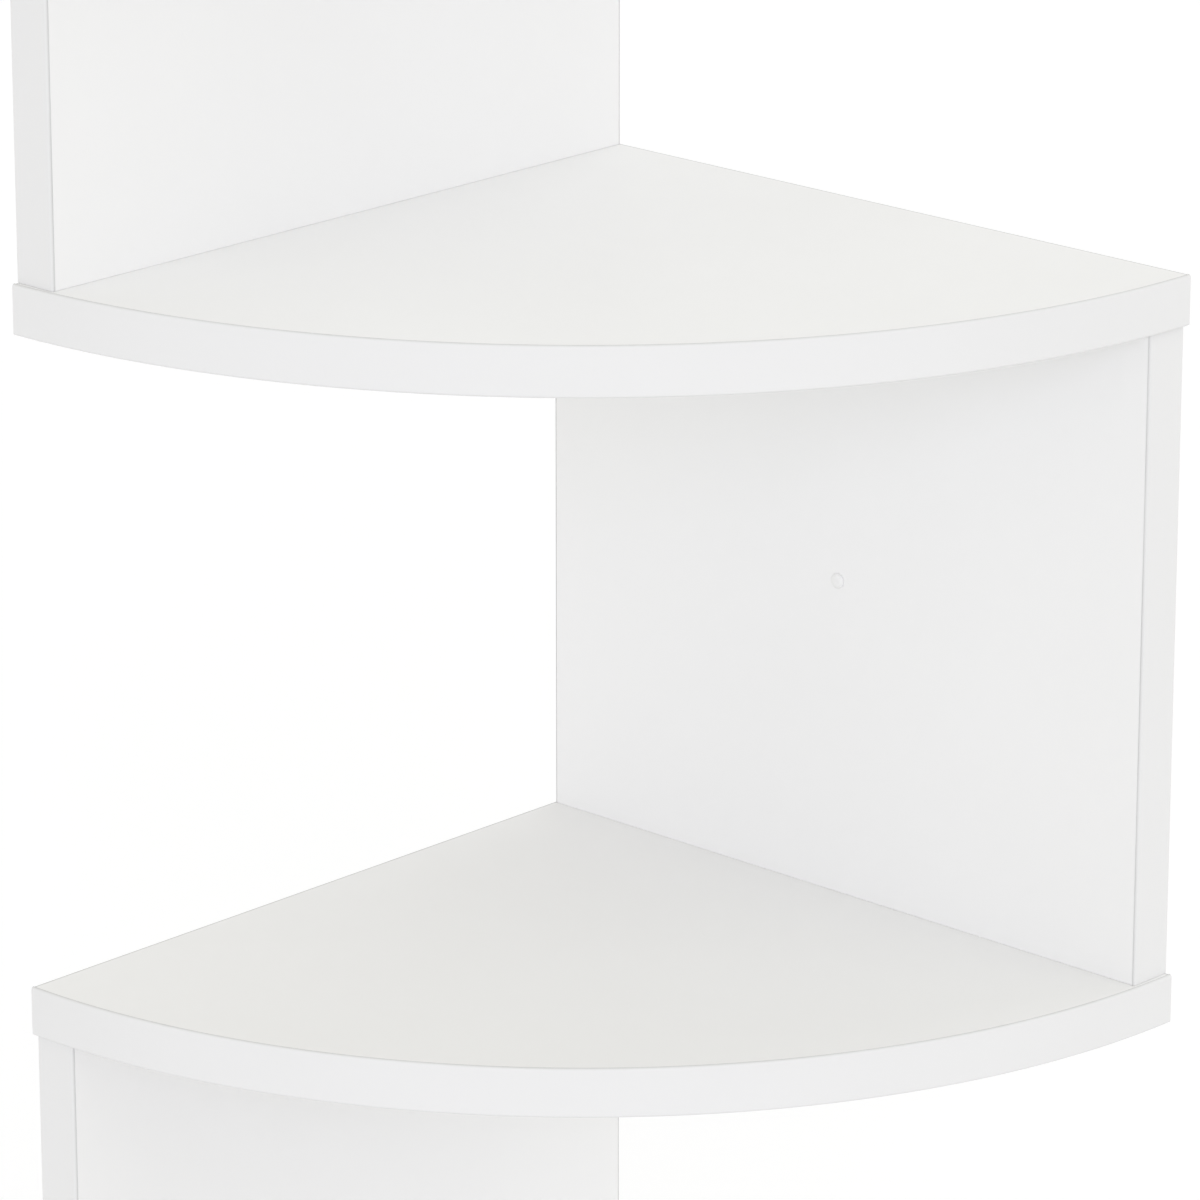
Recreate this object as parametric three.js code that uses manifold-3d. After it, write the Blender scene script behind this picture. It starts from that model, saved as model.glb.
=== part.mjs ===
// Zig-zag corner shelf unit: quarter-round shelf boards, carried one above the other by upright
// panels that stand in turn on the back wall and on the left wall of a room corner.
// Millimetres, +Z up. The origin is the room corner at the foot of the unit. The back wall is the
// plane y = 0, the left wall is the plane x = 0, and the unit lies at positive x and negative y.

import * as THREE from "three";
import { mergeVertices } from "three/addons/utils/BufferGeometryUtils.js";
import Module from "manifold-3d";

// The unit
const shelfCount = 5;
const shelfSide = 250; // straight edge of a shelf, from the room corner to its tip
const boardThickness = 16;
const clearHeight = 209; // between two shelves
const frontSetback = 2; // from a shelf tip back to the front of a panel
const cornerSetback = 1; // from the room corner to the back of a panel

// Edge bands
const bandThickness = 1;
const bandRoundingShare = 0.8; // radius of a band's outer edges, of its thickness

// Clearances
const glueLine = 0.3; // between a band and its board
const seatGap = 0.3; // between a panel's end and the shelf that it meets
const boreClearance = 0.3; // all round a fitting in its bore
const cutOverrun = 1; // how far a cutting body runs past the face that it opens

// Connecting bolt, screwed into the shelf and caught by the cam drum in the panel
const boltFromFront = 60; // from a panel's front edge to the bolt
const shankDiameter = 6;
const collarRim = 0.7; // collar past the shank
const collarThickness = 1.2;
const ballDiameter = 6.4;
const ballShoulder = 1.2; // ball past the neck
const neckSpare = 1; // neck past the wall of the cam drum
const threadShare = 0.69; // length of the threaded end, of the shelf board
const threadDiameter = 5;
const boltTipLength = 2;
const boltTipShare = 0.4; // radius of the bolt's tip, of its thread's

// Cam drum, in the wall side of the panel
const camInset = 34; // from a panel's end to the axis of the drum
const camDiameter = 15;
const camRecess = 0.2; // drum's face below the panel's face
const camSkirt = 0.7; // drum's wall past the hollow that holds the ball
const camChamfer = 0.6;
const camThrow = 1.5; // how far the drum's turn draws the ball in
const camTurn = Math.PI * 1.1; // from the mouth to the locked place
const driveWidth = 7; // cross slot for the screwdriver
const driveSlot = 1.5;
const driveDepthShare = 0.6; // depth of the cross slot, of the drum's top wall

// Fluted dowel
const dowelFromCorner = 60; // from a panel's back edge to the dowel
const dowelDiameter = 8;
const dowelInPanel = 20;
const dowelShelfShare = 0.625; // length in the shelf, of the shelf board
const dowelEndGap = 0.8; // past each end of the dowel
const dowelChamfer = 0.8;
const fluteCount = 8;
const fluteDepth = 0.4;
const landShare = 0.45; // width of the land between two flutes, of their spacing

// Plug in the wall-fixing hole at the middle of a panel
const plugStemDiameter = 3.8;
const plugRim = 0.8; // head past the stem
const plugDome = 1.1;
const plugEdge = 0.3; // upright edge of the head
const plugStemLength = 8;
const plugTaperShare = 0.7; // radius of the stem's tip, of the stem's

// How finely round forms are divided
const shelfArcSteps = 24;
const roundingSteps = 2;
const camSides = 20;
const hollowSides = 16;
const neckWaySteps = 4;
const boreSides = 16;
const boltSides = 10;
const plugSides = 12;
const domeSteps = 3;
const ballSteps = 4;

// Worked out from the above
const pitch = clearHeight + boardThickness;
const panelFront = shelfSide - frontSetback;
const panelEnd = clearHeight / 2; // half of a bay, from a panel's middle to the shelf
const panelHalf = panelEnd - seatGap;
const boardFront = panelFront - bandThickness - glueLine;
const boardRadius = shelfSide - bandThickness - glueLine;
const middleOfBoard = boardThickness / 2;
const middleOfPanel = (cornerSetback + panelFront) / 2;
const boltPlace = panelFront - boltFromFront;
const dowelPlace = cornerSetback + dowelFromCorner;

const shankRadius = shankDiameter / 2;
const collarRadius = shankRadius + collarRim;
const ballRadius = ballDiameter / 2;
const neckRadius = ballRadius - ballShoulder;
const threadRadius = threadDiameter / 2;
const threadLength = boardThickness * threadShare;
const ballPlace = camInset + seatGap; // from the shelf's face to the centre of the ball

const camRadius = camDiameter / 2;
const neckLength = camRadius + neckSpare; // from the centre of the ball to the shank
const hollowRadius = ballRadius + boreClearance;
const hollowTop = middleOfBoard - hollowRadius; // below the panel's face
const camDepth = middleOfBoard + hollowRadius + camSkirt;

const dowelRadius = dowelDiameter / 2;
const dowelInShelf = boardThickness * dowelShelfShare;
const plugStemRadius = plugStemDiameter / 2;

const wasm = await Module();
wasm.setup();

// The two walls. A panel is drawn lying on its wall, along x away from the room corner, out of the
// wall along y, and z from its middle. The same board serves both walls, because a panel of the
// back wall stands on its head.
const backWall = {
  name: "back",
  turn: [Math.PI, 0, 0],
  up: -1,
  place: (along, out) => [along, -out],
};
const leftWall = {
  name: "left",
  turn: [0, 0, -Math.PI / 2],
  up: 1,
  place: (along, out) => [out, -along],
};
const wallOf = (level) => (level % 2 === 0 ? backWall : leftWall);

// Materials, one for each mesh
const melamine = () =>
  new THREE.MeshStandardMaterial({ color: 0xf2f2f0, roughness: 0.55, metalness: 0 });
const edging = () =>
  new THREE.MeshStandardMaterial({ color: 0xf0f0ef, roughness: 0.5, metalness: 0 });
const zincAlloy = () =>
  new THREE.MeshStandardMaterial({ color: 0xa9abac, roughness: 0.45, metalness: 0.9 });
const platedSteel = () =>
  new THREE.MeshStandardMaterial({ color: 0xc3c4c2, roughness: 0.3, metalness: 1 });
const beech = () =>
  new THREE.MeshStandardMaterial({ color: 0xd8b98c, roughness: 0.7, metalness: 0 });
const whitePlastic = () =>
  new THREE.MeshStandardMaterial({ color: 0xf1f1f0, roughness: 0.4, metalness: 0 });

function solidOf(geometry) {
  const bare = geometry.clone();
  bare.deleteAttribute("normal");
  bare.deleteAttribute("uv");
  const merged = mergeVertices(bare);
  const index = merged.index.array;
  const corners = [];
  for (let i = 0; i < index.length; i += 3) {
    const [a, b, c] = [index[i], index[i + 1], index[i + 2]];
    if (a !== b && b !== c && c !== a) corners.push(a, b, c);
  }
  return new wasm.Manifold(
    new wasm.Mesh({
      numProp: 3,
      vertProperties: merged.attributes.position.array,
      triVerts: new Uint32Array(corners),
    }),
  );
}

function geometryOf(solid) {
  const mesh = solid.getMesh();
  const geometry = new THREE.BufferGeometry();
  geometry.setAttribute("position", new THREE.BufferAttribute(mesh.vertProperties, 3));
  geometry.setIndex(new THREE.BufferAttribute(mesh.triVerts, 1));
  geometry.computeVertexNormals();
  return geometry;
}

function cutFrom(body, tools) {
  let solid = solidOf(body);
  for (const tool of tools) solid = solid.subtract(solidOf(tool));
  return geometryOf(solid);
}

// A body turned about the z axis from points [radius, height].
function turned(profile, sides) {
  const points = profile.map(([radius, height]) => new THREE.Vector2(radius, height));
  return new THREE.LatheGeometry(points, sides).rotateX(Math.PI / 2);
}

// A round cutting body along z, from z = low to z = high.
function drill(radius, low, high, sides) {
  const length = high - low;
  const body = new THREE.CylinderGeometry(radius, radius, length, sides);
  return body.rotateX(Math.PI / 2).translate(0, 0, low + length / 2);
}

// A body of one outline along z. An arc of the outline gets two steps for each of curveSegments.
function prism(shape, low, high, arcSteps) {
  const settings = { depth: high - low, bevelEnabled: false, curveSegments: arcSteps / 2 };
  return new THREE.ExtrudeGeometry(shape, settings).translate(0, 0, low);
}

function piece(name, geometry, material) {
  const mesh = new THREE.Mesh(geometry, material);
  mesh.name = name;
  return mesh;
}

// Shelf board: a quarter disc under its laminate, with blind holes for the fittings of the panel
// above in its top and for those of the panel below in its underside.
function shelfGeometry(level) {
  const outline = new THREE.Shape();
  outline.moveTo(0, 0);
  outline.lineTo(boardRadius, 0);
  outline.absarc(0, 0, boardRadius, 0, -Math.PI / 2, true);
  outline.lineTo(0, 0);

  const boltHole = threadLength + boreClearance;
  const dowelHole = dowelInShelf + dowelEndGap;
  const holes = [
    { along: boltPlace, radius: threadRadius + boreClearance, depth: boltHole, sides: boltSides },
    { along: dowelPlace, radius: dowelRadius + boreClearance, depth: dowelHole, sides: boreSides },
  ];
  const tools = [];
  for (const { along, radius, depth, sides } of holes) {
    const [topX, topY] = wallOf(level).place(along, middleOfBoard);
    const top = drill(radius, boardThickness - depth, boardThickness + cutOverrun, sides);
    tools.push(top.translate(topX, topY, 0));
    const [lowX, lowY] = wallOf(level - 1).place(along, middleOfBoard);
    const low = drill(radius, -cutOverrun, depth, sides);
    tools.push(low.translate(lowX, lowY, 0));
  }
  return cutFrom(prism(outline, 0, boardThickness, shelfArcSteps), tools);
}

// Section of an edge band: x across the board from its middle, y out of the board's edge, with
// y = 0 at the outer face. The two outer edges are rounded.
function bandSection() {
  const rounding = bandThickness * bandRoundingShare;
  const half = middleOfBoard;
  const section = new THREE.Shape();
  section.moveTo(-half, -bandThickness);
  section.lineTo(half, -bandThickness);
  section.lineTo(half, -rounding);
  section.absarc(half - rounding, -rounding, rounding, 0, Math.PI / 2, false);
  section.lineTo(rounding - half, 0);
  section.absarc(rounding - half, -rounding, rounding, Math.PI / 2, Math.PI, false);
  section.lineTo(-half, -bandThickness);
  return section;
}

// The round edge of a shelf, from its tip at the back wall to its tip at the left wall.
class ShelfArc extends THREE.Curve {
  getPoint(share, target = new THREE.Vector3()) {
    const angle = (share * Math.PI) / 2;
    return target.set(shelfSide * Math.cos(angle), -shelfSide * Math.sin(angle), 0);
  }
  getTangent(share, target = new THREE.Vector3()) {
    const angle = (share * Math.PI) / 2;
    return target.set(-Math.sin(angle), -Math.cos(angle), 0);
  }
}

function shelfBandGeometry() {
  return new THREE.ExtrudeGeometry(bandSection(), {
    extrudePath: new ShelfArc(),
    steps: shelfArcSteps,
    bevelEnabled: false,
    curveSegments: roundingSteps / 2,
  });
}

function straightBandGeometry(length) {
  return prism(bandSection(), 0, length, roundingSteps);
}

// Panel board: holes for the fittings at each end that meets a shelf, and the wall-fixing hole
// through its middle. An end that meets no shelf is shorter by its own edge band.
function panelGeometry(ends) {
  const freeEnd = panelEnd - bandThickness - glueLine;
  const low = ends.includes(-1) ? -panelHalf : -freeEnd;
  const high = ends.includes(1) ? panelHalf : freeEnd;
  const width = boardFront - cornerSetback;
  const board = new THREE.BoxGeometry(width, boardThickness, high - low);
  board.translate(cornerSetback + width / 2, middleOfBoard, (low + high) / 2);

  const outOfWall = -Math.PI / 2;
  const fixing = drill(
    plugStemRadius + boreClearance,
    -cutOverrun,
    boardThickness + cutOverrun,
    plugSides,
  );
  const tools = [fixing.rotateX(outOfWall).translate(middleOfPanel, 0, 0)];
  for (const end of ends) {
    const seat = end * panelHalf;
    const camBore = drill(
      camRadius + boreClearance,
      -cutOverrun,
      camDepth + boreClearance,
      camSides,
    );
    camBore.rotateX(outOfWall);
    tools.push(camBore.translate(boltPlace, 0, seat - end * camInset));

    const boltBore = drill(collarRadius + boreClearance, -cutOverrun, camInset, boreSides);
    const dowelBore = drill(
      dowelRadius + boreClearance,
      -cutOverrun,
      dowelInPanel + dowelEndGap,
      boreSides,
    );
    const inwards = end > 0 ? Math.PI : 0;
    tools.push(boltBore.rotateX(inwards).translate(boltPlace, middleOfBoard, seat));
    tools.push(dowelBore.rotateX(inwards).translate(dowelPlace, middleOfBoard, seat));
  }
  return cutFrom(board, tools);
}

// Connecting bolt along z: z = 0 is the shelf's face, the thread points down and the ball up.
function boltGeometry() {
  const shankEnd = ballPlace - neckLength;
  const profile = [
    [0, -threadLength],
    [threadRadius * boltTipShare, -threadLength],
    [threadRadius, boltTipLength - threadLength],
    [threadRadius, seatGap],
    [collarRadius, seatGap],
    [collarRadius, seatGap + collarThickness],
    [shankRadius, seatGap + collarThickness],
    [shankRadius, shankEnd],
    [neckRadius, shankEnd],
  ];
  const firstAngle = Math.acos(neckRadius / ballRadius);
  for (let step = 0; step < ballSteps; step += 1) {
    const angle = (step / ballSteps) * (firstAngle + Math.PI / 2) - firstAngle;
    profile.push([ballRadius * Math.cos(angle), ballPlace + ballRadius * Math.sin(angle)]);
  }
  profile.push([0, ballPlace + ballRadius]);
  return turned(profile, boltSides);
}

// Radius of the hollow that draws the ball in: least where the drum is locked, at angle 0, and
// growing evenly round to the mouth.
function hollowRadiusAt(angle) {
  return angle < 0 ? hollowRadius : hollowRadius + (camThrow * angle) / camTurn;
}

function camHollow() {
  const outline = new THREE.Shape();
  const step = (2 * Math.PI) / hollowSides;
  for (let count = 0; count < hollowSides; count += 1) {
    const angle = count * step + camTurn - 2 * Math.PI + step / 2;
    const radius = hollowRadiusAt(angle);
    const [x, y] = [radius * Math.cos(angle), radius * Math.sin(angle)];
    if (count === 0) outline.moveTo(x, y);
    else outline.lineTo(x, y);
  }
  outline.closePath();
  return prism(outline, -camDepth - cutOverrun, -hollowTop, 2);
}

// The narrow way through the drum's wall that the bolt's neck follows, from the locked place at
// angle 0 round to the mouth.
function camNeckWay() {
  const half = neckRadius + boreClearance;
  const reach = camRadius + cutOverrun;
  const outline = new THREE.Shape();
  outline.moveTo(0, -half);
  outline.absarc(0, 0, reach, -Math.asin(half / reach), camTurn, false);
  outline.closePath();
  return prism(outline, -middleOfBoard - half, -middleOfBoard + half, neckWaySteps);
}

function camMouth() {
  const reach = camRadius + cutOverrun;
  const height = camDepth + cutOverrun - hollowTop;
  const mouth = new THREE.BoxGeometry(reach, 2 * hollowRadius, height);
  mouth.translate(reach / 2, 0, -hollowTop - height / 2);
  return mouth.rotateZ(camTurn);
}

function camDrive() {
  const depth = (hollowTop - camRecess) * driveDepthShare;
  const height = depth + cutOverrun;
  const middle = -camRecess - depth + height / 2;
  return [
    new THREE.BoxGeometry(driveWidth, driveSlot, height).translate(0, 0, middle),
    new THREE.BoxGeometry(driveSlot, driveWidth, height).translate(0, 0, middle),
  ];
}

// Cam drum in its locked turn: z = 0 is the panel's wall-side face, the drum goes down from it, and
// the bolt comes in along x.
function camGeometry() {
  const drum = turned(
    [
      [0, -camDepth],
      [camRadius - camChamfer, -camDepth],
      [camRadius, camChamfer - camDepth],
      [camRadius, -camRecess],
      [0, -camRecess],
    ],
    camSides,
  );
  return cutFrom(drum, [camHollow(), camNeckWay(), camMouth(), ...camDrive()]);
}

// Fluted dowel along z: z = 0 is the shelf's face.
function dowelGeometry() {
  const outline = new THREE.Shape();
  const spacing = (2 * Math.PI) / fluteCount;
  const shares = [0, landShare, (1 + landShare) / 2];
  const radii = [dowelRadius, dowelRadius, dowelRadius - fluteDepth];
  for (let flute = 0; flute < fluteCount; flute += 1) {
    for (let corner = 0; corner < shares.length; corner += 1) {
      const angle = (flute + shares[corner]) * spacing;
      const [x, y] = [radii[corner] * Math.cos(angle), radii[corner] * Math.sin(angle)];
      if (flute === 0 && corner === 0) outline.moveTo(x, y);
      else outline.lineTo(x, y);
    }
  }
  outline.closePath();
  const dowel = new THREE.ExtrudeGeometry(outline, {
    depth: dowelInShelf + dowelInPanel - 2 * dowelChamfer,
    bevelEnabled: true,
    bevelThickness: dowelChamfer,
    bevelSize: dowelChamfer,
    bevelOffset: -dowelChamfer,
    bevelSegments: 1,
  });
  return dowel.translate(0, 0, dowelChamfer - dowelInShelf);
}

// Plug along z: z = 0 is the panel's room-side face, with the dome above it.
function plugGeometry() {
  const headRadius = plugStemRadius + plugRim;
  const profile = [
    [0, -plugStemLength],
    [plugStemRadius * plugTaperShare, -plugStemLength],
    [plugStemRadius, plugStemRadius - plugStemLength],
    [plugStemRadius, 0],
    [headRadius, 0],
  ];
  for (let step = 0; step < domeSteps; step += 1) {
    const angle = ((step / domeSteps) * Math.PI) / 2;
    const height = plugEdge + (plugDome - plugEdge) * Math.sin(angle);
    profile.push([headRadius * Math.cos(angle), height]);
  }
  profile.push([0, plugDome]);
  return turned(profile, plugSides);
}

// The fittings of one joint, in the panel's own frame. end is -1 or 1, the end of the panel.
function addJoint(panel, end, name) {
  const shelfFace = end * panelEnd;
  const inwards = end > 0 ? Math.PI : 0;

  const cam = piece(`${name}_cam`, camGeometry(), zincAlloy());
  cam.position.set(boltPlace, 0, end * (panelHalf - camInset));
  cam.rotation.set(Math.PI / 2, 0, (end * Math.PI) / 2);

  const bolt = piece(`${name}_bolt`, boltGeometry(), platedSteel());
  bolt.position.set(boltPlace, middleOfBoard, shelfFace);
  bolt.rotation.set(inwards, 0, 0);

  const dowel = piece(`${name}_dowel`, dowelGeometry(), beech());
  dowel.position.set(dowelPlace, middleOfBoard, shelfFace);
  dowel.rotation.set(inwards, 0, 0);

  panel.add(cam, bolt, dowel);
}

// One upright panel with its bands, plug and joints. Level 0 is the lowest, below the first shelf.
function uprightPanel(level) {
  const wall = wallOf(level);
  const name = `panel_${level + 1}_${wall.name}`;
  const joints = [];
  if (level > 0) joints.push({ end: -wall.up, label: "foot" });
  if (level < shelfCount) joints.push({ end: wall.up, label: "head" });
  const ends = joints.map((joint) => joint.end);

  const panel = new THREE.Group();
  panel.position.set(0, 0, level * pitch + panelEnd);
  panel.rotation.set(...wall.turn);
  panel.add(piece(name, panelGeometry(ends), melamine()));

  const low = ends.includes(-1) ? -panelHalf : -panelEnd;
  const high = ends.includes(1) ? panelHalf : panelEnd;
  const frontBand = piece(`${name}_front_band`, straightBandGeometry(high - low), edging());
  frontBand.position.set(panelFront, middleOfBoard, low);
  frontBand.rotation.set(0, 0, -Math.PI / 2);
  panel.add(frontBand);

  if (!ends.includes(1)) {
    const length = boardFront - cornerSetback;
    const endBand = piece(`${name}_end_band`, straightBandGeometry(length), edging());
    endBand.position.set(cornerSetback, middleOfBoard, panelEnd);
    endBand.rotation.set(Math.PI / 2, Math.PI / 2, 0);
    panel.add(endBand);
  }

  const plug = piece(`${name}_plug`, plugGeometry(), whitePlastic());
  plug.position.set(middleOfPanel, boardThickness, 0);
  plug.rotation.set(-Math.PI / 2, 0, 0);
  panel.add(plug);

  for (const { end, label } of joints) addJoint(panel, end, `${name}_${label}`);
  return panel;
}

// One shelf with the band on its round edge. Level 1 is the lowest shelf.
function shelf(level) {
  const group = new THREE.Group();
  group.position.set(0, 0, level * pitch - boardThickness);
  group.add(piece(`shelf_${level}`, shelfGeometry(level), melamine()));
  const band = piece(`shelf_${level}_band`, shelfBandGeometry(), edging());
  band.position.set(0, 0, middleOfBoard);
  group.add(band);
  return group;
}

const unit = new THREE.Group();
for (let level = 1; level <= shelfCount; level += 1) unit.add(shelf(level));
for (let level = 0; level <= shelfCount; level += 1) unit.add(uprightPanel(level));

export default unit;
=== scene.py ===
import math

import bmesh
import bpy
from mathutils import Matrix, Vector

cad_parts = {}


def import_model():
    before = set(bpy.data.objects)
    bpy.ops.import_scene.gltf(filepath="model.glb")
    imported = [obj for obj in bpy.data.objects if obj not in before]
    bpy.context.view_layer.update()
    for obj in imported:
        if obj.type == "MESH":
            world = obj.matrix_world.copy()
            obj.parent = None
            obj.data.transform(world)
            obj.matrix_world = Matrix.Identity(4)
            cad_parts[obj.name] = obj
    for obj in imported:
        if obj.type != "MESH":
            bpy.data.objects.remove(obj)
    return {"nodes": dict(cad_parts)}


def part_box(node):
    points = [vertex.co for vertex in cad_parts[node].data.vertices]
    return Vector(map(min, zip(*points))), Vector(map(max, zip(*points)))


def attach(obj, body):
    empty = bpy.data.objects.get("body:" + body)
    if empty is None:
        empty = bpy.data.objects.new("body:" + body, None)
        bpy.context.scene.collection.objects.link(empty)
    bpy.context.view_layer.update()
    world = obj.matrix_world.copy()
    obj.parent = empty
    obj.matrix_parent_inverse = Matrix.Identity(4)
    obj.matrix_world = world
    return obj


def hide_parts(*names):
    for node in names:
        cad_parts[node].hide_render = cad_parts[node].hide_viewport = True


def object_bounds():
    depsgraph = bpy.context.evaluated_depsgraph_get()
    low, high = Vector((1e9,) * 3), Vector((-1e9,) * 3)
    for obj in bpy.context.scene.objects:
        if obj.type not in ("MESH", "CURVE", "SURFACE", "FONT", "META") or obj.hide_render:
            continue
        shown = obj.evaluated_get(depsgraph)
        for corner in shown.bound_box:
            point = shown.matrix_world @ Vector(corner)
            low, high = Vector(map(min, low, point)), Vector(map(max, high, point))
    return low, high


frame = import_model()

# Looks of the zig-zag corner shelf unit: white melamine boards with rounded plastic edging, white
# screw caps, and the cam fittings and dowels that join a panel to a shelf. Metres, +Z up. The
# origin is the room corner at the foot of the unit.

CAD_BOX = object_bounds()
MM = 0.001
RIGHT_ANGLE = math.pi / 2

# Camera
CAMERA_PLACE = (1.485, -1.571, 1.217)
CAMERA_TURN = math.radians(43.27)  # from looking along +Y, towards -X
CAMERA_TILT = math.radians(17.95)  # below the horizon
CAMERA_SENSOR = 36  # millimetres
CAMERA_LENS = 205.8  # millimetres
CAMERA_REACH = 100

# Light: an even, slightly warm surround, and wide soft lamps
AMBIENT = (0.797, 0.783, 0.742)
LAMPS = {
    # name: (azimuth from -Y towards +X, elevation, width, strength, colour), angles in degrees
    "front": (45, 15, 30, 0.21, (0.8, 0.81, 1.0)),
    "left": (0, 4, 30, 0.08, (0.86, 0.94, 1.0)),
    "right": (90, 45, 60, 0.1, (0.95, 1.0, 0.97)),
    "rear": (180, 15, 60, 0.285, (0.9, 0.94, 1.0)),
}
LAMP_DISTANCE = 3.0
FLOOR_COLOUR = (0.87, 0.87, 0.87)
FLOOR_DROP = 0.2 * MM
FLOOR_RADIUS = 14.0
FLOOR_SIDES = 96
FLOOR_GLOW = (0.157, 0.162, 0.185)  # what the floor adds where it shows, to make it white

# Shading: corners sharper than these stay sharp
SHARP = math.radians(40)
CAP_SHARP = math.radians(50)
CAM_SHARP = math.radians(35)

# Boards
BOARD_ROUNDING = 0.15 * MM
BOARD_ROUNDING_STEPS = 3
JOIN_GAP = 0.02 * MM  # between a board and its edging
SEAT_GAP = 0.03 * MM  # between a panel and a shelf
NEXT_TO = 1 * MM  # a panel's end is next to a shelf or a band within this
ARC_STEPS = 120

# Edging. The CAD bands are the thick edging of the edges in sight. The edges that face a wall have
# thin edging, which is here alone.
SHELF_WALL_EDGING = 1.0 * MM
PANEL_WALL_EDGING = 0.5 * MM
EDGING_ROUNDING_SHARE = 0.86  # radius of the outer edges, of the thickness
EDGING_CHAMFER = 0.1 * MM  # at the seam with the board
EDGING_END = 0.12 * MM
EDGING_STEPS = 6
SEAM_SHADE = "seam"  # attribute of the painted shade: 1 at the seam with the board, 0 on the outer face
SEAM_SHADE_FADE = 2.0  # how fast the seam's painted grey shade fades over the rounding
THIN_SEAM_SHADE_FADE = 0.5
LOWER_SEAM_SHADE_SHARE = 0.3  # share of the seam's painted grey shade under a shelf, of that on top

# Materials: the two tones that each one varies between, and the sockets of a colour mix node
MELAMINE_TONES = (0.872, 0.872, 0.868), (0.888, 0.888, 0.885)
EDGING_TONES = (0.8, 0.801, 0.801), (0.813, 0.814, 0.814)
# the edging's dark seam line, and the painted shade that fades from it over the rounding
SEAM_SHADE_TONE = (0.57, 0.57, 0.565)
CHIP_TONES = (0.32, 0.21, 0.12), (0.66, 0.51, 0.33)
PLASTIC_TONES = (0.85, 0.85, 0.845), (0.87, 0.87, 0.865)
ZINC_TONES = (0.42, 0.43, 0.44), (0.56, 0.57, 0.58)
STEEL_TONES = (0.58, 0.59, 0.58), (0.68, 0.69, 0.67)
BEECH_TONES = (0.72, 0.5, 0.3), (0.55, 0.34, 0.18)
MIX_SHARE, MIX_FIRST, MIX_SECOND, MIX_RESULT = 0, 6, 7, 2

# Fittings
BORE_CLEARANCE = 0.25 * MM
BORE_SIDES = 48
OVERRUN = 1 * MM
THREAD_CORE = 1.75 * MM
THREAD_CREST = 2.5 * MM
THREAD_PITCH = 2.2 * MM
THREAD_RIDGE_SHARE = 0.22  # half width of a ridge, of the pitch
THREAD_STEPS = 48
BOLT_TIP = 2.2 * MM
BOLT_TIP_SHARE = 0.3  # radius at the tip, of the core
BOLT_SIDES = 48
COLLAR = 3.7 * MM
COLLAR_LIFT = 0.3 * MM
COLLAR_LENGTH = 1.2 * MM
SHANK = 3.0 * MM
SHANK_TAPER = 0.4 * MM
NECK = 2.0 * MM
NECK_LENGTH = 8.5 * MM  # from the shank to the middle of the ball
BALL = 3.2 * MM
BALL_STEPS = 9
STEM = 1.9 * MM
STEM_BORE = 2.2 * MM
STEM_TIP = 0.15 * MM
STEM_TIP_SHARES = (0.62, 0.72)  # radius at the tip and just above it, of the stem
CAP_INSET = 0.25 * MM  # of the head, inside its solid
CAP_CHAMFER = 0.06 * MM
CAP_EDGE = 0.3 * MM
CAP_STEPS = 8
CAP_SIDES = 64
FLUTES = 16
FLUTE_SHARE = 0.07  # depth, of the dowel's radius
DOWEL_CHAMFER = 0.9 * MM
DOWEL_SIDES = 128
CAM_RIM = 0.35 * MM
CAM_FOOT = 0.8 * MM
CAM_SIDES = 72
CAM_CLEARANCE = 0.3 * MM
CAM_TURN = math.radians(198)  # from the mouth to the locked place
CAM_THROW = 1.5 * MM  # how far that turn draws the ball in
CAM_STEPS = 32
CROSS_ARM = 3.5 * MM
CROSS_HALF_WIDTH = 0.75 * MM
CROSS_DEPTH = 2.4 * MM
ARROW_TIP = 6.6 * MM
ARROW_BACK = 4.9 * MM
ARROW_WING = 1.1 * MM
ARROW_DEPTH = 0.35 * MM

# The walls that panels stand on: away from the room corner, and out of the wall
WALLS = {
    "back": (Vector((1, 0, 0)), Vector((0, -1, 0))),
    "left": (Vector((0, -1, 0)), Vector((1, 0, 0))),
}
SIDEWAYS = Vector((1, 0, 0))
UP = Vector((0, 0, 1))

NODES = frame["nodes"]
SHELVES = sorted(name for name in NODES if name.startswith("shelf_") and name.count("_") == 1)
PANELS = sorted(name for name in NODES if name.startswith("panel_") and name.count("_") == 2)


def wall_of(node):
    """The wall of a panel, from its name, such as panel_2_left."""
    return WALLS[node.split("_")[2]]


def centre(node):
    low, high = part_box(node)
    return (low + high) / 2


def reach(node, direction):
    """Lowest and highest place of a node along a direction of the axes."""
    ends = [corner.dot(direction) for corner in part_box(node)]
    return min(ends), max(ends)


def half_width(node, direction):
    low, high = reach(node, direction)
    return (high - low) / 2


# Mesh code

def loft(loops):
    """A closed mesh through loops of equally many points, with a flat face at each end."""
    bm = bmesh.new()
    rings = [[bm.verts.new(point) for point in loop] for loop in loops]
    count = len(rings[0])
    for ring, after in zip(rings, rings[1:]):
        for i in range(count):
            j = (i + 1) % count
            bm.faces.new((ring[i], ring[j], after[j], after[i]))
    bm.faces.new(reversed(rings[0]))
    bm.faces.new(rings[-1])
    bmesh.ops.recalc_face_normals(bm, faces=bm.faces)
    if bm.calc_volume(signed=True) < 0:
        bmesh.ops.reverse_faces(bm, faces=bm.faces)
    return bm


def prism(outline, low, high):
    """An upright prism over points (x, y)."""
    return loft([[Vector((x, y, z)) for x, y in outline] for z in (low, high)])


def soften(bm, width, steps):
    """Rounds the sharp edges."""
    edges = [edge for edge in bm.edges if edge.calc_face_angle(0) > SHARP]
    bmesh.ops.bevel(bm, geom=edges, offset=width, segments=steps, profile=0.5, affect="EDGES")


def turned(profile, sides, ripple=None):
    """A closed body turned about z through points (radius, height)."""
    loops = []
    for radius, height in profile:
        loop = []
        for i in range(sides):
            angle = 2 * math.pi * i / sides
            r = ripple(radius, angle, height) if ripple else radius
            loop.append(Vector((r * math.cos(angle), r * math.sin(angle), height)))
        loops.append(loop)
    return loft(loops)


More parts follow.
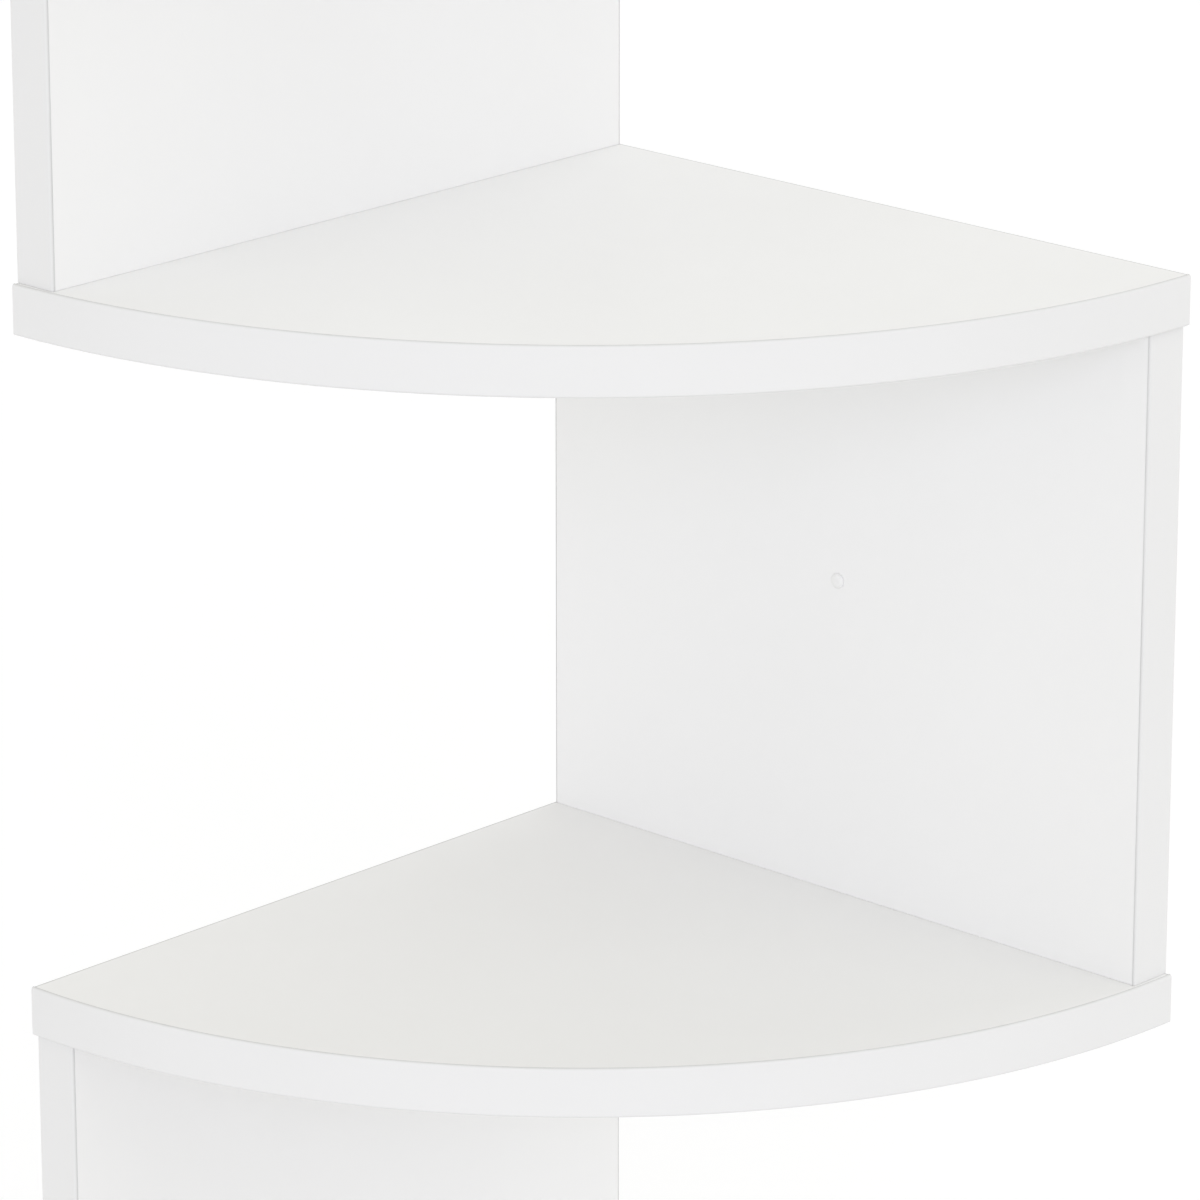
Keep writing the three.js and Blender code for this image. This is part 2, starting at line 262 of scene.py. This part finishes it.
def placed(bm, origin, x_axis, z_axis):
    """Puts a mesh drawn about z at a place in the unit."""
    y_axis = z_axis.cross(x_axis)
    turn = Matrix((x_axis, y_axis, z_axis)).transposed().to_4x4()
    bm.transform(Matrix.Translation(origin) @ turn)
    return bm


def new_object(name, bm, materials):
    mesh = bpy.data.meshes.new(name)
    bm.to_mesh(mesh)
    bm.free()
    for material in materials:
        mesh.materials.append(material)
    piece = bpy.data.objects.new(name, mesh)
    bpy.context.scene.collection.objects.link(piece)
    return piece


def cut(piece, cutters):
    """Takes the cutters away from a piece. Their material lines the holes."""
    for cutter in cutters:
        modifier = piece.modifiers.new("cut", "BOOLEAN")
        modifier.solver = "EXACT"
        modifier.operation = "DIFFERENCE"
        modifier.material_mode = "TRANSFER"
        modifier.object = cutter
    graph = bpy.context.evaluated_depsgraph_get()
    mesh = bpy.data.meshes.new_from_object(piece.evaluated_get(graph))
    piece.modifiers.clear()
    piece.data = mesh
    for cutter in cutters:
        bpy.data.objects.remove(cutter)


def finish_piece(piece, node, sharp=SHARP):
    """Smooth shading with flat faces kept flat, and the piece's place in the model."""
    mesh = piece.data
    mesh.shade_smooth()
    mesh.set_sharp_from_angle(angle=sharp)
    normals = piece.modifiers.new("even normals", "WEIGHTED_NORMAL")
    normals.keep_sharp = True
    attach(piece, "root")
    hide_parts(node)
    return piece


# Materials

def joined(nodes, links, operation, first, second):
    """A value worked out from two others by a math node."""
    node = nodes.new("ShaderNodeMath")
    node.operation = operation
    links.new(first, node.inputs[0])
    links.new(second, node.inputs[1])
    return node.outputs[0]


class Paint:
    """A material under construction, with short ways to add the nodes used here. The scales of
    noise and cells are per metre."""

    def __init__(self, name):
        self.material = bpy.data.materials.new(name)
        self.material.use_nodes = True
        self.nodes = self.material.node_tree.nodes
        self.links = self.material.node_tree.links
        self.shader = self.nodes["Principled BSDF"]
        self.place = self.nodes.new("ShaderNodeTexCoord").outputs["Object"]

    def set(self, socket, value):
        self.shader.inputs[socket].default_value = value

    def link(self, output, socket):
        self.links.new(output, self.shader.inputs[socket])

    def stretched(self, scale):
        mapping = self.nodes.new("ShaderNodeMapping")
        mapping.inputs["Scale"].default_value = scale
        self.links.new(self.place, mapping.inputs["Vector"])
        return mapping.outputs["Vector"]

    def noise(self, scale, detail=2.0, roughness=0.5, vector=None):
        node = self.nodes.new("ShaderNodeTexNoise")
        node.inputs["Scale"].default_value = scale
        node.inputs["Detail"].default_value = detail
        node.inputs["Roughness"].default_value = roughness
        self.links.new(vector or self.place, node.inputs["Vector"])
        return node.outputs["Fac"]

    def cells(self, scale, feature="F1", output="Distance", vector=None):
        node = self.nodes.new("ShaderNodeTexVoronoi")
        node.feature = feature
        node.inputs["Scale"].default_value = scale
        self.links.new(vector or self.place, node.inputs["Vector"])
        return node.outputs[output]

    def spread(self, value, low=0, high=1, start=0.3, end=0.7):
        """Maps a value between start and end to one between low and high."""
        node = self.nodes.new("ShaderNodeMapRange")
        node.inputs["From Min"].default_value = start
        node.inputs["From Max"].default_value = end
        node.inputs["To Min"].default_value = low
        node.inputs["To Max"].default_value = high
        self.links.new(value, node.inputs["Value"])
        return node.outputs["Result"]

    def blend(self, share, first, second):
        """Mixes two colours, each a colour or an output."""
        node = self.nodes.new("ShaderNodeMix")
        node.data_type = "RGBA"
        self.links.new(share, node.inputs[MIX_SHARE])
        for place, colour in ((MIX_FIRST, first), (MIX_SECOND, second)):
            if isinstance(colour, tuple):
                node.inputs[place].default_value = (*colour, 1)
            else:
                self.links.new(colour, node.inputs[place])
        return node.outputs[MIX_RESULT]

    def vary_colour(self, value, tones):
        self.link(self.blend(value, *tones), "Base Color")

    def vary_roughness(self, value, least, most):
        self.link(self.spread(value, least, most), "Roughness")

    def bump(self, height, distance, normal=None):
        node = self.nodes.new("ShaderNodeBump")
        node.inputs["Distance"].default_value = distance
        self.links.new(height, node.inputs["Height"])
        if normal:
            self.links.new(normal, node.inputs["Normal"])
        return node.outputs["Normal"]

    def attribute(self, name):
        node = self.nodes.new("ShaderNodeAttribute")
        node.attribute_name = name
        return node.outputs["Fac"]

    def product(self, first, second):
        return joined(self.nodes, self.links, "MULTIPLY", first, second)


def pearl_grain(paint, depth):
    """The fine soft grain of a matt melamine face, over a faint long wave."""
    wave = paint.bump(paint.noise(scale=90, detail=1.0), distance=0.02 * MM)
    return paint.bump(paint.cells(scale=1100, feature="SMOOTH_F1"), depth, normal=wave)


def melamine():
    paint = Paint("white melamine")
    paint.vary_colour(paint.spread(paint.noise(scale=7)), MELAMINE_TONES)
    paint.vary_roughness(paint.noise(scale=60, detail=3.0), 0.44, 0.52)
    paint.link(pearl_grain(paint, depth=0.012 * MM), "Normal")
    paint.set("Specular IOR Level", 0.4)
    return paint.material


def edging():
    """White plastic edging, with a dark seam line and painted shade on the radius beside it."""
    paint = Paint("white edging")
    face = paint.blend(paint.spread(paint.noise(scale=12)), *EDGING_TONES)
    # the seam's dark line and its painted shade over the rounding, broken up by noise
    streak = paint.spread(paint.noise(scale=40, detail=3.0), low=0.75)
    seam = paint.product(paint.attribute(SEAM_SHADE), streak)
    paint.vary_colour(seam, (face, SEAM_SHADE_TONE))
    paint.vary_roughness(paint.noise(scale=80, detail=3.0), 0.38, 0.46)
    paint.link(pearl_grain(paint, depth=0.008 * MM), "Normal")
    paint.set("Specular IOR Level", 0.45)
    return paint.material


def chipboard():
    """The pressed chips inside a board, seen in its bores."""
    paint = Paint("chipboard core")
    chips = paint.cells(scale=900, output="Color", vector=paint.stretched((1, 1, 2.2)))
    paint.vary_colour(paint.spread(chips, start=0.1, end=0.9), CHIP_TONES)
    paint.link(paint.bump(paint.cells(scale=900), distance=0.15 * MM), "Normal")
    paint.set("Roughness", 0.85)
    return paint.material


def white_plastic():
    paint = Paint("white cap plastic")
    paint.vary_colour(paint.spread(paint.noise(scale=300)), PLASTIC_TONES)
    paint.vary_roughness(paint.noise(scale=700), 0.34, 0.42)
    paint.link(paint.bump(paint.noise(scale=2500), distance=0.004 * MM), "Normal")
    return paint.material


def zinc():
    """Dull die-cast zinc."""
    paint = Paint("cast zinc")
    cloud = paint.noise(scale=420, detail=4.0, roughness=0.6)
    paint.vary_colour(paint.spread(cloud), ZINC_TONES)
    paint.vary_roughness(paint.noise(scale=900, detail=3.0), 0.36, 0.52)
    fine = paint.noise(scale=2600, detail=3.0, roughness=0.6)
    grain = paint.bump(fine, distance=0.03 * MM)
    paint.link(paint.bump(paint.cells(scale=500), distance=0.02 * MM, normal=grain), "Normal")
    paint.set("Metallic", 1.0)
    return paint.material


def plated_steel():
    paint = Paint("zinc plated steel")
    paint.vary_colour(paint.spread(paint.noise(scale=300, detail=3.0)), STEEL_TONES)
    rings = paint.noise(scale=900, vector=paint.stretched((0.2, 0.2, 4)))
    paint.vary_roughness(rings, 0.22, 0.38)
    paint.link(paint.bump(rings, distance=0.01 * MM), "Normal")
    paint.set("Metallic", 1.0)
    return paint.material


def beech():
    paint = Paint("beech")
    along = paint.stretched((1, 1, 0.08))
    grain = paint.noise(scale=700, detail=4.0, roughness=0.6, vector=along)
    paint.vary_colour(paint.spread(grain), BEECH_TONES)
    pores = paint.cells(scale=1800, vector=paint.stretched((1, 1, 0.12)))
    paint.link(paint.bump(pores, distance=0.05 * MM), "Normal")
    paint.set("Roughness", 0.72)
    return paint.material


MELAMINE = melamine()
EDGING = edging()
CHIPBOARD = chipboard()
PLASTIC = white_plastic()
ZINC = zinc()
STEEL = plated_steel()
BEECH = beech()

# Boards

FIRST_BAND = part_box(f"{PANELS[0]}_front_band")
EDGING_THICKNESS = min(FIRST_BAND[1] - FIRST_BAND[0])
SHELF_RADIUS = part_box(f"{SHELVES[0]}_band")[1].x


def fittings_of(board, kind):
    """The fittings of a kind that reach into a board."""
    low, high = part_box(board)
    found = []
    for node in NODES:
        if node.endswith(f"_{kind}"):
            start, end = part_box(node)
            if all(end[i] > low[i] and start[i] < high[i] for i in range(3)):
                found.append(node)
    return found


def drill(origin, direction, length, radius):
    """A round cutting body from origin along a direction."""
    bm = turned([(radius, 0), (radius, length)], BORE_SIDES)
    side = SIDEWAYS if direction in (UP, -UP) else UP
    return new_object("cutter", placed(bm, origin, side, direction), [CHIPBOARD])


def end_bore(fitting, low, high, radius=None):
    """Cuts room for a fitting that enters a board from the nearer of its bottom and its top."""
    start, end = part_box(fitting)
    place = centre(fitting)
    if place.z > (low + high) / 2:
        place.z = high + OVERRUN
        direction, length = -UP, high - start.z
    else:
        place.z = low - OVERRUN
        direction, length = UP, end.z - low
    wide = (radius or half_width(fitting, SIDEWAYS)) + BORE_CLEARANCE
    return drill(place, direction, length + OVERRUN + BORE_CLEARANCE, wide)


def wall_bore(fitting, out, wall_side, depth, radius):
    """Cuts a hole of a depth, centred on a fitting, into a panel's wall side."""
    place = centre(fitting)
    place -= out * (place.dot(out) - wall_side + OVERRUN)
    return drill(place, out, depth + OVERRUN, radius)


def shelf_board(node):
    low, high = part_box(node)
    radius = SHELF_RADIUS - EDGING_THICKNESS - JOIN_GAP
    inset = SHELF_WALL_EDGING + JOIN_GAP
    first = math.asin(inset / radius)
    outline = [(inset, -inset)]
    for i in range(ARC_STEPS + 1):
        angle = first + (RIGHT_ANGLE - 2 * first) * i / ARC_STEPS
        outline.append((radius * math.cos(angle), -radius * math.sin(angle)))
    bm = prism(outline, low.z, high.z)
    soften(bm, BOARD_ROUNDING, BOARD_ROUNDING_STEPS)
    piece = new_object(f"{node}_board", bm, [MELAMINE])
    cutters = [end_bore(bolt, low.z, high.z, THREAD_CORE) for bolt in fittings_of(node, "bolt")]
    cutters += [end_bore(dowel, low.z, high.z) for dowel in fittings_of(node, "dowel")]
    cut(piece, cutters)
    finish_piece(piece, node)


def panel_ends(node):
    """Where a panel's board starts and ends in height: next to a shelf, or to its end edging."""
    low, high = reach(node, UP)
    for shelf in SHELVES:
        bottom, top = reach(shelf, UP)
        if abs(top - low) < NEXT_TO:
            low = top + SEAT_GAP
        if abs(bottom - high) < NEXT_TO:
            high = bottom - SEAT_GAP
    end_band = f"{node}_end_band"
    if end_band in NODES:
        bottom, top = reach(end_band, UP)
        if abs(top - low) < NEXT_TO:
            low = top + JOIN_GAP
        if abs(bottom - high) < NEXT_TO:
            high = bottom - JOIN_GAP
    return low, high


def panel_board(node):
    along, out = wall_of(node)
    low, high = panel_ends(node)
    back, _ = reach(node, along)
    back += PANEL_WALL_EDGING + JOIN_GAP
    front, _ = reach(f"{node}_front_band", along)
    front -= JOIN_GAP
    wall_side, room_side = reach(node, out)
    corners = [(back, wall_side), (front, wall_side), (front, room_side), (back, room_side)]
    outline = [(along * a + out * b).xy for a, b in corners]
    bm = prism(outline, low, high)
    soften(bm, BOARD_ROUNDING, BOARD_ROUNDING_STEPS)
    piece = new_object(f"{node}_board", bm, [MELAMINE])

    through = room_side - wall_side + OVERRUN
    cutters = [wall_bore(f"{node}_plug", out, wall_side, through, STEM_BORE)]
    for cam in fittings_of(node, "cam"):
        depth = reach(cam, out)[1] - wall_side + BORE_CLEARANCE
        radius = half_width(cam, along) + BORE_CLEARANCE
        cutters.append(wall_bore(cam, out, wall_side, depth, radius))
    for kind in ("bolt", "dowel"):
        cutters += [end_bore(fitting, low, high) for fitting in fittings_of(node, kind)]
    cut(piece, cutters)
    finish_piece(piece, node)


# Edging

def edging_section(half, thickness, inset, fade, first_seam_shade):
    """Points (across the board, out of its edge, share of the seam's painted shade) of a strip's
    section, its outer face at 0 out. inset draws the section in on every side. first_seam_shade is
    the share of that painted shade on the side that is first across."""
    rounding = thickness * EDGING_ROUNDING_SHARE - inset
    side = half - inset
    face = -inset
    inner = inset - thickness
    points = [(EDGING_CHAMFER - side, inner, 1.0), (-side, inner + EDGING_CHAMFER, 1.0)]
    for i in range(EDGING_STEPS + 1):
        angle = RIGHT_ANGLE * i / EDGING_STEPS
        across = rounding - side - rounding * math.cos(angle)
        # painted shade: greyest at the seam, fading out over the rounding
        share = (1 - i / EDGING_STEPS) ** fade
        points.append((across, face - rounding + rounding * math.sin(angle), share))
    mirrored = [(-across, proud, share) for across, proud, share in reversed(points)]
    return [(across, proud, share * first_seam_shade) for across, proud, share in points] + mirrored


def sweep(name, half, thickness, stations, fade=SEAM_SHADE_FADE, first_seam_shade=1.0):
    """Edging along stations (origin, across, out, inset), with its attribute of painted seam shade.
    """
    loops, shares = [], []
    for origin, across, out, inset in stations:
        section = edging_section(half, thickness, inset, fade, first_seam_shade)
        loops.append([origin + across * a + out * b for a, b, _ in section])
        shares.extend(share for _, _, share in section)
    piece = new_object(name, loft(loops), [EDGING])
    attribute = piece.data.attributes.new(SEAM_SHADE, "FLOAT", "POINT")
    attribute.data.foreach_set("value", shares)
    return piece


def straight_edging(name, node, start, end, out, half, thickness, fade=SEAM_SHADE_FADE):
    """Edging between two points of its outer face's middle line."""
    run = (end - start).normalized()
    length = (end - start).length
    places = [(0, EDGING_END), (EDGING_END, 0), (length - EDGING_END, 0), (length, EDGING_END)]
    stations = [(start + run * place, out.cross(run), out, inset) for place, inset in places]
    finish_piece(sweep(name, half, thickness, stations, fade), node)


def shelf_edging(shelf):
    node = f"{shelf}_band"
    low, high = reach(node, UP)
    middle = UP * (low + high) / 2
    half = (high - low) / 2
    end = EDGING_END / SHELF_RADIUS
    angles = [RIGHT_ANGLE * i / ARC_STEPS for i in range(1, ARC_STEPS)]
    turns = [(0, EDGING_END), (end, 0)] + [(angle, 0) for angle in angles]
    turns += [(RIGHT_ANGLE - end, 0), (RIGHT_ANGLE, EDGING_END)]
    stations = []
    for angle, inset in turns:
        out = Vector((math.cos(angle), -math.sin(angle), 0))
        stations.append((middle + out * SHELF_RADIUS, UP, out, inset))
    name = f"{shelf}_edging"
    strip = sweep(name, half, EDGING_THICKNESS, stations, SEAM_SHADE_FADE, LOWER_SEAM_SHADE_SHARE)
    finish_piece(strip, node)

    tip = SHELF_RADIUS - EDGING_THICKNESS - JOIN_GAP
    for wall, first in (("back", 0), ("left", SHELF_WALL_EDGING + JOIN_GAP)):
        along, out = WALLS[wall]
        start, end = (middle + along * place for place in (first, tip))
        name = f"{shelf}_{wall}_edging"
        straight_edging(name, shelf, start, end, -out, half, SHELF_WALL_EDGING)


def panel_edging(panel):
    along, out = wall_of(panel)
    half = half_width(panel, out)
    middle = out * centre(panel).dot(out)
    low, high = panel_ends(panel)
    back, _ = reach(panel, along)
    start, end = (middle + along * back + UP * level for level in (low, high))
    name = f"{panel}_wall_edging"
    straight_edging(name, panel, start, end, -along, half, PANEL_WALL_EDGING, THIN_SEAM_SHADE_FADE)

    node = f"{panel}_front_band"
    free_low, free_high = reach(node, UP)
    end_band = f"{panel}_end_band"
    if end_band in NODES:
        low = min(low, free_low)
        high = max(high, free_high)
    _, front = reach(node, along)
    start, end = (middle + along * front + UP * level for level in (low, high))
    name = f"{panel}_front_edging"
    straight_edging(name, node, start, end, along, half, EDGING_THICKNESS)
    if end_band in NODES:
        bottom, top = reach(end_band, UP)
        outwards = UP if top > centre(panel).z else -UP
        level = top if outwards == UP else bottom
        start, end = (middle + along * place + UP * level for place in reach(end_band, along))
        name = f"{panel}_end_edging"
        straight_edging(name, end_band, start, end, outwards, half, EDGING_THICKNESS)


# Fittings

def screw_cap(panel):
    """A domed cap on a tapered stem."""
    along, out = wall_of(panel)
    node = f"{panel}_plug"
    start, room_side = reach(node, out)
    seat = reach(panel, out)[1]
    head = half_width(node, along) - CAP_INSET
    length = seat - start
    tip, above = (STEM * share for share in STEM_TIP_SHARES)
    profile = [(tip, -length), (above, STEM_TIP - length), (STEM, STEM - length), (STEM, 0)]
    profile += [(head - CAP_CHAMFER, 0), (head, CAP_CHAMFER), (head, CAP_EDGE)]
    for i in range(1, CAP_STEPS):
        angle = RIGHT_ANGLE * i / CAP_STEPS
        height = CAP_EDGE + (room_side - seat - CAP_EDGE) * math.sin(angle)
        profile.append((head * math.cos(angle), height))
    place = centre(node)
    place += out * (seat - place.dot(out))
    bm = placed(turned(profile, CAP_SIDES), place, UP, out)
    piece = new_object(f"{panel}_cap", bm, [PLASTIC])
    finish_piece(piece, node, CAP_SHARP)


def thread(radius, angle, height):
    if height > 0:
        return radius
    phase = (height / THREAD_PITCH - angle / (2 * math.pi)) % 1
    ridge = max(0.0, 1 - abs(phase - 0.5) / THREAD_RIDGE_SHARE)
    return radius * (1 + ridge * (THREAD_CREST / THREAD_CORE - 1))


def connecting_bolt(node):
    """Ball, neck, shank, collar and thread, along z from the shelf's face."""
    start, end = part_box(node)
    foot = "_foot_" in node
    shelf = next(s for s in SHELVES if reach(s, UP)[0] < end.z and reach(s, UP)[1] > start.z)
    face = reach(shelf, UP)[1] if foot else reach(shelf, UP)[0]
    length = end.z - face if foot else face - start.z
    depth = face - start.z if foot else end.z - face
    profile = []
    for i in range(THREAD_STEPS + 1):
        height = -depth * (1 - i / THREAD_STEPS)
        taper = BOLT_TIP_SHARE + (1 - BOLT_TIP_SHARE) * (height + depth) / BOLT_TIP
        profile.append((THREAD_CORE * min(1.0, taper), height))
    ball_place = length - BALL
    shank_end = ball_place - NECK_LENGTH
    collar_end = COLLAR_LIFT + COLLAR_LENGTH
    profile += [(COLLAR, COLLAR_LIFT), (COLLAR, collar_end), (SHANK, collar_end)]
    profile += [(SHANK, shank_end - SHANK_TAPER), (NECK, shank_end)]
    first = math.acos(NECK / BALL)
    for i in range(BALL_STEPS):
        angle = i / BALL_STEPS * (first + RIGHT_ANGLE) - first
        profile.append((BALL * math.cos(angle), ball_place + BALL * math.sin(angle)))
    place = centre(node)
    place.z = face
    upwards = UP if foot else -UP
    bm = placed(turned(profile, BOLT_SIDES, thread), place, SIDEWAYS, upwards)
    piece = new_object(f"{node.removesuffix('_bolt')}_connecting_bolt", bm, [STEEL])
    finish_piece(piece, node)


def flutes(radius, angle, height):
    return radius * (1 - FLUTE_SHARE * max(0.0, math.cos(FLUTES * angle)) ** 2)


def fluted_dowel(node):
    start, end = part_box(node)
    radius = half_width(node, SIDEWAYS)
    length = end.z - start.z
    tip = radius - DOWEL_CHAMFER
    profile = [(tip, 0), (radius, DOWEL_CHAMFER), (radius, length - DOWEL_CHAMFER), (tip, length)]
    place = centre(node)
    place.z = start.z
    bm = placed(turned(profile, DOWEL_SIDES, flutes), place, SIDEWAYS, UP)
    piece = new_object(f"{node.removesuffix('_dowel')}_fluted_dowel", bm, [BEECH])
    finish_piece(piece, node)


def cam_hollow(radius):
    """Outline of the hollow that draws the ball in: least when locked, most at the mouth."""
    outline = []
    for i in range(CAM_STEPS):
        angle = CAM_TURN - 2 * math.pi * (1 - (i + 0.5) / CAM_STEPS)
        r = radius + CAM_THROW * max(0.0, angle) / CAM_TURN
        outline.append((r * math.cos(angle), r * math.sin(angle)))
    return outline


def cam_neck_way(half, edge):
    """Outline of the way that the bolt's neck follows, from the locked place to the mouth."""
    first = -math.asin(half / edge)
    outline = [(0, -half)]
    for i in range(CAM_STEPS + 1):
        angle = first + (CAM_TURN - first) * i / CAM_STEPS
        outline.append((edge * math.cos(angle), edge * math.sin(angle)))
    return outline


def cam_mouth(half, edge):
    """Outline of the side opening that the ball comes in by."""
    c, s = math.cos(CAM_TURN), math.sin(CAM_TURN)
    corners = [(0, -half), (edge, -half), (edge, half), (0, half)]
    return [(c * x - s * y, s * x + c * y) for x, y in corners]


def cam_drum(node):
    """Cast drum with a cross slot, an arrow to the bolt and a hollow that holds the bolt's ball."""
    panel = node.rsplit("_", 2)[0]
    along, out = wall_of(panel)
    low, high = reach(node, out)
    radius = half_width(node, along)
    depth = high - low
    place = centre(node)
    place += out * (low - place.dot(out))
    towards = -UP if "_foot_" in node else UP
    profile = [(radius - CAM_FOOT, -depth), (radius, CAM_FOOT - depth), (radius, -CAM_RIM)]
    profile.append((radius - CAM_RIM, 0))
    bm = placed(turned(profile, CAM_SIDES), place, towards, -out)
    joint = node.removesuffix("_cam")
    piece = new_object(f"{joint}_cam_drum", bm, [ZINC])

    def tool(outline, bottom, top):
        shape = placed(prism(outline, bottom, top), place, towards, -out)
        return new_object("cutter", shape, [ZINC])

    long, wide = CROSS_ARM, CROSS_HALF_WIDTH
    cross = [(long, wide), (-long, wide), (-long, -wide), (long, -wide)]
    arrow = [(ARROW_TIP, 0), (ARROW_BACK, ARROW_WING), (ARROW_BACK, -ARROW_WING)]
    hollow = BALL + CAM_CLEARANCE
    neck = NECK + CAM_CLEARANCE
    edge = radius + OVERRUN
    axis = low - centre(f"{joint}_bolt").dot(out)
    foot = -depth - OVERRUN
    cut(piece, [
        tool(cross, -CROSS_DEPTH, OVERRUN),
        tool([(-y, x) for x, y in cross], -CROSS_DEPTH, OVERRUN),
        tool(arrow, -ARROW_DEPTH, OVERRUN),
        tool(cam_hollow(hollow), foot, axis + hollow),
        tool(cam_neck_way(neck, edge), axis - neck, axis + neck),
        tool(cam_mouth(hollow, edge), foot, axis + hollow),
    ])
    finish_piece(piece, node, CAM_SHARP)


for shelf_node in SHELVES:
    shelf_board(shelf_node)
    shelf_edging(shelf_node)
for panel_node in PANELS:
    panel_board(panel_node)
    panel_edging(panel_node)
    screw_cap(panel_node)
for fitting_node in sorted(NODES):
    if fitting_node.endswith("_cam"):
        cam_drum(fitting_node)
    elif fitting_node.endswith("_bolt"):
        connecting_bolt(fitting_node)
    elif fitting_node.endswith("_dowel"):
        fluted_dowel(fitting_node)

# Floor, background, lamps and camera

def background_ray(nodes, links):
    """1 for a ray that shows the background: from the camera, off gloss or through glass."""
    path = nodes.new("ShaderNodeLightPath")
    value = path.outputs["Is Camera Ray"]
    for name in ("Is Glossy Ray", "Is Transmission Ray"):
        value = joined(nodes, links, "MAXIMUM", value, path.outputs[name])
    return value


def white_floor():
    material = bpy.data.materials.new("pale floor")
    material.use_nodes = True
    nodes, links = material.node_tree.nodes, material.node_tree.links
    nodes.clear()
    diffuse = nodes.new("ShaderNodeBsdfDiffuse")
    diffuse.inputs["Color"].default_value = (*FLOOR_COLOUR, 1)
    glow = nodes.new("ShaderNodeEmission")
    glow.inputs["Color"].default_value = (*FLOOR_GLOW, 1)
    links.new(background_ray(nodes, links), glow.inputs["Strength"])
    both = nodes.new("ShaderNodeAddShader")
    links.new(diffuse.outputs[0], both.inputs[0])
    links.new(glow.outputs[0], both.inputs[1])
    output = nodes.new("ShaderNodeOutputMaterial")
    links.new(both.outputs[0], output.inputs["Surface"])
    return material


def floor():
    bm = bmesh.new()
    bmesh.ops.create_circle(bm, cap_ends=True, radius=FLOOR_RADIUS, segments=FLOOR_SIDES)
    bm.transform(Matrix.Translation((0, 0, CAD_BOX[0].z - FLOOR_DROP)))
    new_object("floor", bm, [white_floor()])


def world():
    made = bpy.data.worlds.new("studio")
    bpy.context.scene.world = made
    made.use_nodes = True
    nodes, links = made.node_tree.nodes, made.node_tree.links
    mix = nodes.new("ShaderNodeMix")
    mix.data_type = "RGBA"
    mix.inputs[MIX_FIRST].default_value = (*AMBIENT, 1)
    mix.inputs[MIX_SECOND].default_value = (1, 1, 1, 1)
    links.new(background_ray(nodes, links), mix.inputs[MIX_SHARE])
    links.new(mix.outputs[MIX_RESULT], nodes["Background"].inputs["Color"])


def lamps():
    for name, (azimuth, elevation, width, strength, colour) in LAMPS.items():
        a, e = math.radians(azimuth), math.radians(elevation)
        towards = Vector((math.sin(a) * math.cos(e), -math.cos(a) * math.cos(e), math.sin(e)))
        lamp = bpy.data.objects.new(f"{name} lamp", bpy.data.lights.new(name, "SUN"))
        lamp.data.energy = strength * math.pi
        lamp.data.angle = math.radians(width)
        lamp.data.color = colour
        lamp.rotation_mode = "QUATERNION"
        lamp.rotation_quaternion = towards.to_track_quat("Z", "Y")
        lamp.location = towards * LAMP_DISTANCE
        lamp.visible_glossy = False  # the surround alone gives the gloss, so no face clips in it
        bpy.context.scene.collection.objects.link(lamp)


def camera():
    made = bpy.data.objects.new("camera", bpy.data.cameras.new("camera"))
    made.data.sensor_width = CAMERA_SENSOR
    made.data.lens = CAMERA_LENS
    made.data.clip_end = CAMERA_REACH
    made.location = CAMERA_PLACE
    made.rotation_euler = (RIGHT_ANGLE - CAMERA_TILT, 0, CAMERA_TURN)
    bpy.context.scene.collection.objects.link(made)
    bpy.context.scene.camera = made


floor()
world()
lamps()
camera()
bpy.context.scene.view_settings.view_transform = "Standard"
